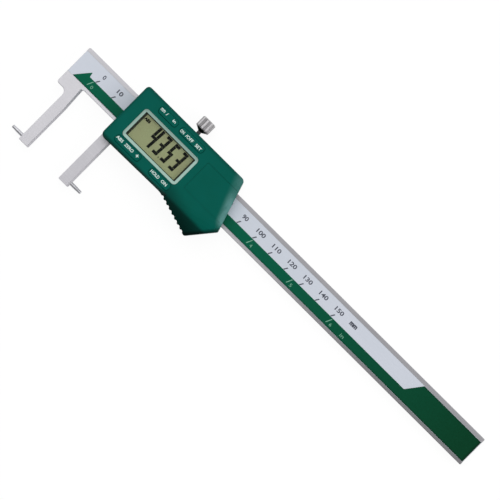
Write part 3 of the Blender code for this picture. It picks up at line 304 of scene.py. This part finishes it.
PLASTIC_CLOUDS = (90.0, 90.0, 90.0)
GRAIN_DEPTH = 0.006 * MM


def moulded_plastic(name, colour, shade, roughness, grain=3500.0, specular=0.5, finish=None):
    """Moulded plastic: spark-eroded grain, a little mottling and softly varying gloss."""
    made = Shading(name)
    made.set("Specular IOR Level", specular)
    clouds = made.noise(PLASTIC_CLOUDS, 3.0, 0.6)
    grains = made.noise((grain, grain, grain), 2.0)
    mottled = made.colours(made.between(clouds, 0.0, 1.0), colour, shade)
    made.wire(finish(made, mottled) if finish else mottled, "Base Color")
    made.wire(made.between(grains, roughness - 0.05, roughness + 0.07), "Roughness")
    made.bump(grains, GRAIN_DEPTH, 0.6)
    return made.material


def dull_rims(made, base):
    """Paints shade on the bezel's upper and left rims."""
    return made.scaled(base, made.edges(SHADED_RIMS))


INK_SPECKS = (2500.0, 2500.0, 2500.0)


def printed(name, colour, shade, roughness=0.5, specular=0.3):
    """Ink with fine specks."""
    made = Shading(name)
    made.set("Specular IOR Level", specular)
    specks = made.noise(INK_SPECKS, 2.0)
    made.wire(made.colours(made.between(specks, 0.0, 1.0), colour, shade), "Base Color")
    made.wire(made.between(specks, roughness - 0.08, roughness + 0.08), "Roughness")
    return made.material


FILM_FIBRES, FILM_CLOUDS = (120.0, 5000.0, 5000.0), (35.0, 70.0, 70.0)


def silver_film():
    """The label's silver film, brushed along the beam and slightly cloudy."""
    made = Shading("silver_film", metallic=0.2)
    fibres = made.noise(FILM_FIBRES)
    base = made.colours(made.between(fibres, 0.0, 1.0), (0.70, 0.74, 0.83), (0.75, 0.78, 0.87))
    clouds = made.between(made.noise(FILM_CLOUDS, 2.0), 0.0, 0.5)
    made.wire(made.colours(clouds, base, (0.65, 0.71, 0.79)), "Base Color")
    made.wire(made.between(fibres, 0.42, 0.54), "Roughness")
    return made.material


# The green print is darker along its lower, upper and far edges, given as in SHADED_EDGES
PRINT_LOW, PRINT_HIGH, PRINT_END = 1.5, 14.0, 251.7
PRINT_EDGES = (
    (((0.0, PRINT_LOW), (1.0, PRINT_LOW)), 0.9, 0.45),
    (((1.0, PRINT_HIGH), (0.0, PRINT_HIGH)), 0.9, 0.60),
    (((PRINT_END, 0.0), (PRINT_END, 1.0)), 1.8, 0.60),
)
PRINT_SPECKS = (1200.0, 1200.0, 1200.0)
PRINT_DEEPER_FROM, PRINT_DEEPER_TO = -20.0 * MM, 120.0 * MM


def green_print():
    """The label's green ink, a little deeper towards the beam's far end."""
    made = Shading("green_print")
    made.set("Specular IOR Level", 0.08)
    specks = made.noise(PRINT_SPECKS)
    apart = made.add("SeparateXYZ", None, (made.where["Object"],))
    along = made.map_range(apart.outputs["X"], PRINT_DEEPER_FROM, PRINT_DEEPER_TO, 0.0, 1.0)
    deep = made.colours(along, (0.0, 0.118, 0.060), (0.0, 0.046, 0.016))
    light = made.colours(along, (0.0, 0.130, 0.070), (0.0, 0.055, 0.021))
    base = made.colours(made.between(specks, 0.0, 1.0), deep, light)
    made.wire(made.scaled(base, made.edges(PRINT_EDGES)), "Base Color")
    made.wire(made.between(specks, 0.36, 0.48), "Roughness")
    return made.material


SPARKLE, DISPLAY_CLOUDS = (9000.0, 9000.0, 9000.0), (160.0, 160.0, 160.0)


def display_glass():
    """The display's reflector behind its glass: warm green grey with a fine sparkle."""
    made = Shading("display_glass")
    sparkle = made.noise(SPARKLE, 2.0)
    base = made.colours(made.between(sparkle, 0.0, 1.0), (0.405, 0.465, 0.225), (0.465, 0.525, 0.265))
    clouds = made.between(made.noise(DISPLAY_CLOUDS, 2.0), 0.0, 0.6)
    made.wire(made.colours(clouds, base, (0.41, 0.405, 0.205)), "Base Color")
    made.wire(made.between(sparkle, 0.30, 0.42), "Roughness")
    return made.material


WINDOW_HAZE, WINDOW_HAZE_DEPTH = (700.0, 700.0, 700.0), 0.001 * MM


def clear_window():
    """The display's clear window, faintly tinted, with a slightly uneven surface."""
    made = Shading("clear_window", roughness=0.06, alpha=0.08)
    made.set("Base Color", (0.02, 0.03, 0.025, 1.0))
    made.bump(made.noise(WINDOW_HAZE, 2.0), WINDOW_HAZE_DEPTH, 0.2)
    return made.material


STEEL = ground_steel("ground_steel", (0.64, 0.63, 0.67), (0.75, 0.74, 0.78), 0.36)
BEAM_STEEL = ground_steel("beam_steel", (0.71, 0.70, 0.74), (0.81, 0.80, 0.84), 0.36, finish=edge_bands)
PIN_STEEL = ground_steel("pin_steel", (0.52, 0.52, 0.55), (0.70, 0.70, 0.74), 0.30)
SCREW_STEEL = ground_steel("screw_steel", (0.22, 0.22, 0.235), (0.32, 0.32, 0.34), 0.34)
CONTACT_STEEL = ground_steel("contact_steel", (0.45, 0.44, 0.42), (0.62, 0.60, 0.56), 0.25)
# The battery's chrome and the knob's chrome carry painted shade in their hollows, the knob also on its stem
CHROME = ground_steel("chrome", (0.50, 0.49, 0.50), (0.64, 0.63, 0.64), 0.20, hollow_shade=0.75)
KNOB_CHROME = ground_steel(
    "knob_chrome", (0.40, 0.39, 0.40), (0.50, 0.49, 0.50), 0.30, hollow_shade=0.85, finish=oiled_stem
)
BRASS = ground_steel("brass", (0.52, 0.36, 0.14), (0.68, 0.48, 0.20), 0.33)
GREEN = ((0.0002, 0.107, 0.078), (0.0001, 0.118, 0.092), 0.34)
GREEN_PLASTIC = moulded_plastic("green_plastic", *GREEN, specular=0.06)
# The housing's plastic carries painted shade on the thumb rest and edges, and a painted highlight on the
# side chamfer
HOUSING_PLASTIC = moulded_plastic("housing_plastic", *GREEN, specular=0.06, finish=handled)
# The bezel's plastic carries painted shade on its upper and left rims
BEZEL_PLASTIC = moulded_plastic(
    "bezel_plastic", (0.37, 0.57, 0.50), (0.43, 0.63, 0.55), 0.28, 2500.0, finish=dull_rims
)
BOARD = moulded_plastic("board_laminate", (0.012, 0.110, 0.040), (0.020, 0.150, 0.055), 0.42, 1500.0)
RESIN = moulded_plastic("black_resin", (0.012, 0.012, 0.012), (0.020, 0.020, 0.020), 0.45, 1200.0)
HOLDER = moulded_plastic("holder_plastic", (0.62, 0.62, 0.58), (0.70, 0.70, 0.67), 0.45, 2000.0)
FILM = silver_film()
GREEN_INK = green_print()
DARK_INK = printed("dark_ink", (0.055, 0.060, 0.085), (0.095, 0.105, 0.140))
PALE_INK = printed("pale_ink", (0.16, 0.42, 0.29), (0.24, 0.52, 0.38))
WHITE_INK = printed("white_ink", (0.72, 0.90, 0.84), (0.84, 0.97, 0.93))
SEGMENT_INK = printed("segment_black", (0.002, 0.003, 0.001), (0.005, 0.006, 0.003), 0.4, specular=0.1)
# A painted shadow: the dark frame inside the display's window
SHADOW_INK = printed("border_ink", (0.035, 0.040, 0.025), (0.055, 0.060, 0.038), 0.4, specular=0.1)
DISPLAY = display_glass()
WINDOW = clear_window()

FINISHES = {
    "beam": BEAM_STEEL,
    "slider_frame": STEEL,
    "back_plate": STEEL,
    "fixed_tip": PIN_STEEL,
    "sliding_tip": PIN_STEEL,
    "scale_stator": BOARD,
    "scale_label": FILM,
    "label_green_field": GREEN_INK,
    "end_stop": SCREW_STEEL,
    "gib_strip": BRASS,
    "housing": HOUSING_PLASTIC,
    "battery_cover": HOUSING_PLASTIC,
    "lcd_bezel": BEZEL_PLASTIC,
    "lcd_window": WINDOW,
    "lcd_panel": DISPLAY,
    "lcd_holder": HOLDER,
    "lcd_connector": RESIN,
    "circuit_board": BOARD,
    "processor": RESIN,
    "battery": CHROME,
    "battery_contact_base": CONTACT_STEEL,
    "battery_contact_side": CONTACT_STEEL,
    "lock_screw": KNOB_CHROME,
    "lock_shoe": BRASS,
}


def finish_of(name):
    """The material of a node: its own, or that of the domes, the keys or the screws."""
    if name in FINISHES:
        return FINISHES[name]
    if name.endswith("_dome"):
        return CONTACT_STEEL
    return GREEN_PLASTIC if name.endswith("_key") else SCREW_STEEL


for node_name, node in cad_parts.items():
    node.data.materials.clear()
    node.data.materials.append(finish_of(node_name))


# Printed marks

INK, INK_LIFT = 0.012 * MM, 0.004 * MM
SEGMENT_DEPTH, SEGMENT_LIFT = 0.015 * MM, 0.01 * MM


def top_of(node):
    """The height of a node's upper face."""
    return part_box(node)[1].z


def ink_on(surface, lift=INK_LIFT, depth=INK):
    """The lowest and highest level of ink on a surface at this height."""
    return surface + lift, surface + lift + depth


def add_piece(name, work, material, body):
    """Makes a piece from a bmesh in the frame's own coordinates and lets it ride on a body."""
    mesh = bpy.data.meshes.new(name)
    bmesh.ops.recalc_face_normals(work, faces=work.faces)
    work.to_mesh(mesh)
    work.free()
    mesh.materials.append(material)
    piece = bpy.data.objects.new(name, mesh)
    bpy.context.scene.collection.objects.link(piece)
    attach(piece, body)


def add_prism(work, outline, bottom, top):
    """Adds a thin solid with this outline of (x, y) in millimetres, between two heights in metres."""
    points = [place(x, y, 0.0) for x, y in outline]
    low = [work.verts.new((point.x, point.y, bottom)) for point in points]
    high = [work.verts.new((point.x, point.y, top)) for point in points]
    work.faces.new(low[::-1])
    work.faces.new(high)
    for index, start in enumerate(low):
        after = (index + 1) % len(low)
        work.faces.new((start, low[after], high[after], high[index]))


def add_slash(work, x, low, high, width, lean, bottom, top):
    """Adds a slanted stroke given in millimetres that starts at x, between two heights in metres."""
    outline = [(x, low), (x + width, low), (x + width + lean, high), (x + lean, high)]
    add_prism(work, outline, bottom, top)


def glyph_mesh(text, weight):
    """The mesh of a line of text in Blender's own font, one unit thick, with added weight."""
    curve = bpy.data.curves.new("glyphs", "FONT")
    curve.body = text
    curve.extrude = 0.5
    curve.offset = weight
    curve.resolution_u = 4
    guide = bpy.data.objects.new("glyphs", curve)
    bpy.context.scene.collection.objects.link(guide)
    bpy.context.view_layer.update()
    graph = bpy.context.evaluated_depsgraph_get()
    mesh = bpy.data.meshes.new_from_object(guide.evaluated_get(graph))
    bpy.data.objects.remove(guide)
    bpy.data.curves.remove(curve)
    return mesh


def add_text(work, text, left, right, low, high, bottom, top, weight=0.0):
    """Adds a line of text that fills a box given in millimetres, between two heights in metres."""
    mesh = glyph_mesh(text, weight)
    xs = [vertex.co.x for vertex in mesh.vertices]
    ys = [vertex.co.y for vertex in mesh.vertices]
    stretch = Matrix.Diagonal((
        (right - left) * MM / (max(xs) - min(xs)),
        (high - low) * MM / (max(ys) - min(ys)),
        top - bottom,
        1.0,
    ))
    start = Matrix.Translation((-min(xs), -min(ys), 0.5))
    there = Matrix.Translation(place(left, low, bottom))
    mesh.transform(there @ stretch @ start)
    work.from_mesh(mesh)
    bpy.data.meshes.remove(mesh)


# The millimetre scale on the silver
TICK_COUNT, TICK_PITCH, FIRST_TICK = 16, 10.0, 12.6
TICK_LOW, TICK_HIGH = 6.45, 8.25
TICK_WIDTH, TICK_LEAN = 0.62, 1.05
NUMBER_LOW, NUMBER_HIGH = 9.75, 11.85
NUMBER_OFFSET, NUMBER_WEIGHT = 1.75, 0.025
DIGIT_WIDTH, DIGIT_PITCH = 1.35, 1.75
UNIT_LEFT, UNIT_RIGHT, UNIT_HIGH, UNIT_WEIGHT = 171.2, 175.4, 11.5, 0.06

# The inch scale on the green
INCH_COUNT, INCH_PITCH, FIRST_INCH = 7, 25.4, 10.6
INCH_TICK_LOW, INCH_TICK_HIGH = 3.0, 5.9
INCH_TICK_WIDTH, INCH_TICK_LEAN = 0.42, 1.35
INCH_NUMBER_LOW, INCH_NUMBER_HIGH = 2.75, 4.35
INCH_NUMBER_OFFSET = 2.1
INCH_DIGIT_WIDTH, INCH_ONE_WIDTH = 1.15, 0.75
INCH_UNIT_LEFT, INCH_UNIT_RIGHT = 171.9, 174.0


def build_millimetre_scale():
    """Ticks, and numbers above them, on the silver film."""
    ticks, numbers = bmesh.new(), bmesh.new()
    layer = ink_on(top_of("scale_label"))
    for index in range(TICK_COUNT):
        x = FIRST_TICK + TICK_PITCH * index
        add_slash(ticks, x, TICK_LOW, TICK_HIGH, TICK_WIDTH, TICK_LEAN, *layer)
        text = str(index * 10)
        half = (DIGIT_WIDTH + DIGIT_PITCH * (len(text) - 1)) / 2
        middle = x + NUMBER_OFFSET
        ends = (middle - half, middle + half)
        add_text(numbers, text, *ends, NUMBER_LOW, NUMBER_HIGH, *layer, NUMBER_WEIGHT)
    add_text(numbers, "mm", UNIT_LEFT, UNIT_RIGHT, NUMBER_LOW, UNIT_HIGH, *layer, UNIT_WEIGHT)
    add_piece("scale_ticks", ticks, DARK_INK, "beam")
    add_piece("scale_numbers", numbers, DARK_INK, "beam")


def build_inch_scale():
    """Ticks, and numbers beside them, on the green stripe."""
    work = bmesh.new()
    layer = ink_on(top_of("label_green_field"))
    rows = (INCH_NUMBER_LOW, INCH_NUMBER_HIGH)
    for index in range(INCH_COUNT):
        x = FIRST_INCH + INCH_PITCH * index
        add_slash(work, x, INCH_TICK_LOW, INCH_TICK_HIGH, INCH_TICK_WIDTH, INCH_TICK_LEAN, *layer)
        left = x + INCH_NUMBER_OFFSET
        width = INCH_ONE_WIDTH if index == 1 else INCH_DIGIT_WIDTH
        add_text(work, str(index), left, left + width, *rows, *layer)
    add_text(work, "in", INCH_UNIT_LEFT, INCH_UNIT_RIGHT, *rows, *layer)
    add_piece("scale_inches", work, PALE_INK, "beam")


# The reading: each digit with its ends along the beam, and which strokes of a digit are lit
DIGITS = (("4", 47.8, 51.2), ("3", 53.1, 56.0), ("5", 58.1, 60.9), ("3", 63.3, 66.1))
SEGMENTS = {"3": "abcdg", "4": "bcfg", "5": "acdfg"}
READING_LOW, READING_HIGH = 2.1, 12.6
SLANT = 0.065
STROKE, SEGMENT_GAP = 1.42, 0.06
POINT_LEFT, POINT_WIDTH, POINT_HEIGHT, POINT_LEAN = 56.85, 0.45, 0.55, 0.04
MARK_BOX, MARK_WEIGHT = (40.3, 43.7, 10.1, 11.7), 0.065


def digit_strokes(lit, width, height):
    """The lit strokes of a digit as rectangles in a box from (0, 0): bars right across, posts between."""
    middle, half = height / 2, STROKE / 2
    bars = {"a": (height - STROKE, height), "g": (middle - half, middle + half), "d": (0, STROKE)}
    strokes = [(0, low, width, high) for bar, (low, high) in bars.items() if bar in lit]
    roof = height - (STROKE + SEGMENT_GAP if "a" in lit else 0)
    ground = STROKE + SEGMENT_GAP if "d" in lit else 0
    above, below = middle + half + SEGMENT_GAP, middle - half - SEGMENT_GAP
    posts = {"b": (above, roof), "c": (ground, below), "f": (above, roof)}
    for post, (low, high) in posts.items():
        if post in lit:
            left = width - STROKE if post in "bc" else 0
            strokes.append((left, low, left + STROKE, high))
    return strokes


def build_reading():
    """The reading on the display, in slanted seven-segment digits."""
    work = bmesh.new()
    layer = ink_on(top_of("lcd_panel"), SEGMENT_LIFT, SEGMENT_DEPTH)
    for digit, left, right in DIGITS:
        for x0, y0, x1, y1 in digit_strokes(SEGMENTS[digit], right - left, READING_HIGH - READING_LOW):
            corners = ((x0, y0), (x1, y0), (x1, y1), (x0, y1))
            add_prism(work, [(left + x + SLANT * y, READING_LOW + y) for x, y in corners], *layer)
    point_high = READING_LOW + POINT_HEIGHT
    add_slash(work, POINT_LEFT, READING_LOW, point_high, POINT_WIDTH, POINT_LEAN, *layer)
    add_text(work, "ABS", *MARK_BOX, *layer, MARK_WEIGHT)
    add_piece("display_digits", work, SEGMENT_INK, "slider")


# Painted shadow inside the display's window: how far it reaches in from each side, and how far out past the
# window
SHADOW_LEFT, SHADOW_TOP, SHADOW_RIGHT, SHADOW_LOW = 1.1 * MM, 0.4 * MM, 0.8 * MM, 0.3 * MM
SHADOW_OUTSET = 0.3 * MM


def build_display_border():
    """A dark frame painted on the display as the shadow inside its window, wider on the left and at the
    top.
    """
    low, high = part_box("lcd_window")
    outer = (low.x - SHADOW_OUTSET, low.y - SHADOW_OUTSET, high.x + SHADOW_OUTSET, high.y + SHADOW_OUTSET)
    inner = (low.x + SHADOW_LEFT, low.y + SHADOW_LOW, high.x - SHADOW_RIGHT, high.y - SHADOW_TOP)
    work = bmesh.new()
    rings = []
    for z in ink_on(top_of("lcd_panel"), SEGMENT_LIFT, SEGMENT_DEPTH):
        for x0, y0, x1, y1 in (outer, inner):
            rings.append([work.verts.new((x, y, z)) for x, y in ((x0, y0), (x1, y0), (x1, y1), (x0, y1))])
    low_out, low_in, high_out, high_in = rings
    for one, other in ((high_out, high_in), (low_in, low_out), (low_out, high_out), (high_in, low_in)):
        for index in range(4):
            after = (index + 1) % 4
            work.faces.new((one[index], one[after], other[after], other[index]))
    add_piece("display_shadow", work, SHADOW_INK, "slider")


# For each key, how far its legend is above the key's middle, and its words with their ends along the beam
LEGENDS = {
    "units_key": (0.45, (("mm", 42.8, 45.1), ("/", 46.1, 46.9), ("in", 50.2, 51.9))),
    "power_key": (-0.25, (("ON", 55.8, 58.0), ("/OFF", 59.1, 63.5), ("SET", 65.2, 68.7))),
    "zero_key": (0.40, (("ABS", 37.3, 41.1), ("ZERO", 42.4, 47.5), ("+", 49.3, 50.9))),
    "hold_key": (0.25, (("HOLD", 59.1, 64.1), ("ON", 65.6, 68.8))),
}
LEGEND_HEIGHT, LEGEND_WEIGHT = 1.5, 0.02
SMALL_LETTERS, SMALL_LETTER_SHARE = ("mm", "in"), 0.85


def build_legends():
    """Pale words printed on the keys."""
    for key, (above, words) in LEGENDS.items():
        low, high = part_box(key)
        middle = ((low.y + high.y) / 2 - BEAM_LOW) / MM + above
        work = bmesh.new()
        for text, left, right in words:
            rise = LEGEND_HEIGHT / 2 * (SMALL_LETTER_SHARE if text in SMALL_LETTERS else 1.0)
            add_text(work, text, left, right, middle - rise, middle + rise, *ink_on(high.z), LEGEND_WEIGHT)
        add_piece(key + "_legend", work, WHITE_INK, key)


# Floor, light and camera

FLOOR_DROP = 0.02 * MM
FLOOR_SIZE = 6.0
FLOOR_GLOW = 0.8
FLOOR_PAPER = 0.5
FLOOR_WHITE = 1.16


def build_floor():
    """A pale paper floor that also glows where the camera, gloss or glass sees it, and keeps the shadow."""
    mesh = bpy.data.meshes.new("floor")
    half = FLOOR_SIZE / 2
    z = cad_low.z - FLOOR_DROP
    corners = [(-half, -half, z), (half, -half, z), (half, half, z), (-half, half, z)]
    mesh.from_pydata(corners, [], [(0, 1, 2, 3)])
    floor = bpy.data.objects.new("floor", mesh)
    bpy.context.scene.collection.objects.link(floor)
    made = Shading("white_floor")
    paper = made.add("BsdfDiffuse", None, Color=(FLOOR_PAPER, FLOOR_PAPER, FLOOR_PAPER, 1.0))
    bright = made.add("Emission", None, Color=(1.0, 1.0, 1.0, 1.0), Strength=FLOOR_WHITE)
    rays = made.add("LightPath").outputs
    seen = rays["Is Camera Ray"]
    for ray in ("Is Glossy Ray", "Is Transmission Ray"):
        seen = made.math("MAXIMUM", seen, rays[ray])
    share = made.math("MULTIPLY", seen, FLOOR_GLOW)
    mixed = made.add("MixShader", None, (share, paper.outputs[0], bright.outputs[0]))
    made.feed(made.tree.nodes["Material Output"].inputs["Surface"], mixed.outputs[0])
    mesh.materials.append(made.material)


TURN = math.radians(44.83)
VIEW_MIDDLE = place(116.0, 1.9, 0.0)
VIEW_WIDTH = 226.0 * MM
VIEW_DISTANCE = 1.8
FOCUS_HEIGHT = 8.0 * MM
SENSOR_WIDTH = 36.0
CLIP_START, CLIP_END = 0.05, 50.0


def build_camera():
    """A long lens straight above, turned as the photograph is."""
    lens = bpy.data.cameras.new("camera")
    lens.type = "PERSP"
    lens.sensor_width = SENSOR_WIDTH
    lens.lens = SENSOR_WIDTH * VIEW_DISTANCE / VIEW_WIDTH
    lens.clip_start, lens.clip_end = CLIP_START, CLIP_END
    camera = bpy.data.objects.new("camera", lens)
    camera.location = (*VIEW_MIDDLE[:2], FOCUS_HEIGHT + VIEW_DISTANCE)
    camera.rotation_euler = (0.0, 0.0, TURN)
    bpy.context.scene.collection.objects.link(camera)
    bpy.context.scene.camera = camera


# The sky's level, and how it rises in each direction
SKY_LEVEL = 0.47
SKY_TOWARDS = (-0.08, 0.30, 0.11)
# Each soft box: its name, direction from the object, distance and size in metres, and power in watts
SOFT_BOXES = (
    ("key", (-0.75, 0.60, 1.50), 1.8, (1.5, 1.5), 7.2),
    ("side", (0.97, 0.25, 0.80), 1.5, (1.0, 0.8), 5.0),
)


def build_sky():
    """Soft daylight all round, darker from the side of the legs."""
    world = bpy.data.worlds.new("studio")
    bpy.context.scene.world = world
    world.use_nodes = True
    tree = world.node_tree
    back = tree.nodes["Background"]
    back.inputs["Color"].default_value = (1.0, 1.0, 1.0, 1.0)
    where = tree.nodes.new("ShaderNodeTexCoord")
    tilt = tree.nodes.new("ShaderNodeVectorMath")
    tilt.operation = "DOT_PRODUCT"
    tree.links.new(where.outputs["Generated"], tilt.inputs[0])
    tilt.inputs[1].default_value = SKY_TOWARDS
    level = tree.nodes.new("ShaderNodeMath")
    level.operation = "ADD"
    tree.links.new(tilt.outputs["Value"], level.inputs[0])
    level.inputs[1].default_value = SKY_LEVEL
    tree.links.new(level.outputs[0], back.inputs["Strength"])


def build_soft_box(name, towards, distance, size, power):
    """A rectangular lamp in this direction from the object, facing it."""
    data = bpy.data.lights.new(name, "AREA")
    data.shape = "RECTANGLE"
    data.size, data.size_y = size
    data.energy = power
    lamp = bpy.data.objects.new(name, data)
    away = Vector(towards).normalized()
    lamp.location = VIEW_MIDDLE + away * distance
    lamp.rotation_euler = away.to_track_quat("Z", "Y").to_euler()
    lamp.visible_camera = False
    bpy.context.scene.collection.objects.link(lamp)


build_millimetre_scale()
build_inch_scale()
build_reading()
build_display_border()
build_legends()
build_floor()
build_sky()
for soft_box in SOFT_BOXES:
    build_soft_box(*soft_box)
build_camera()
bpy.context.scene.view_settings.view_transform = "Standard"
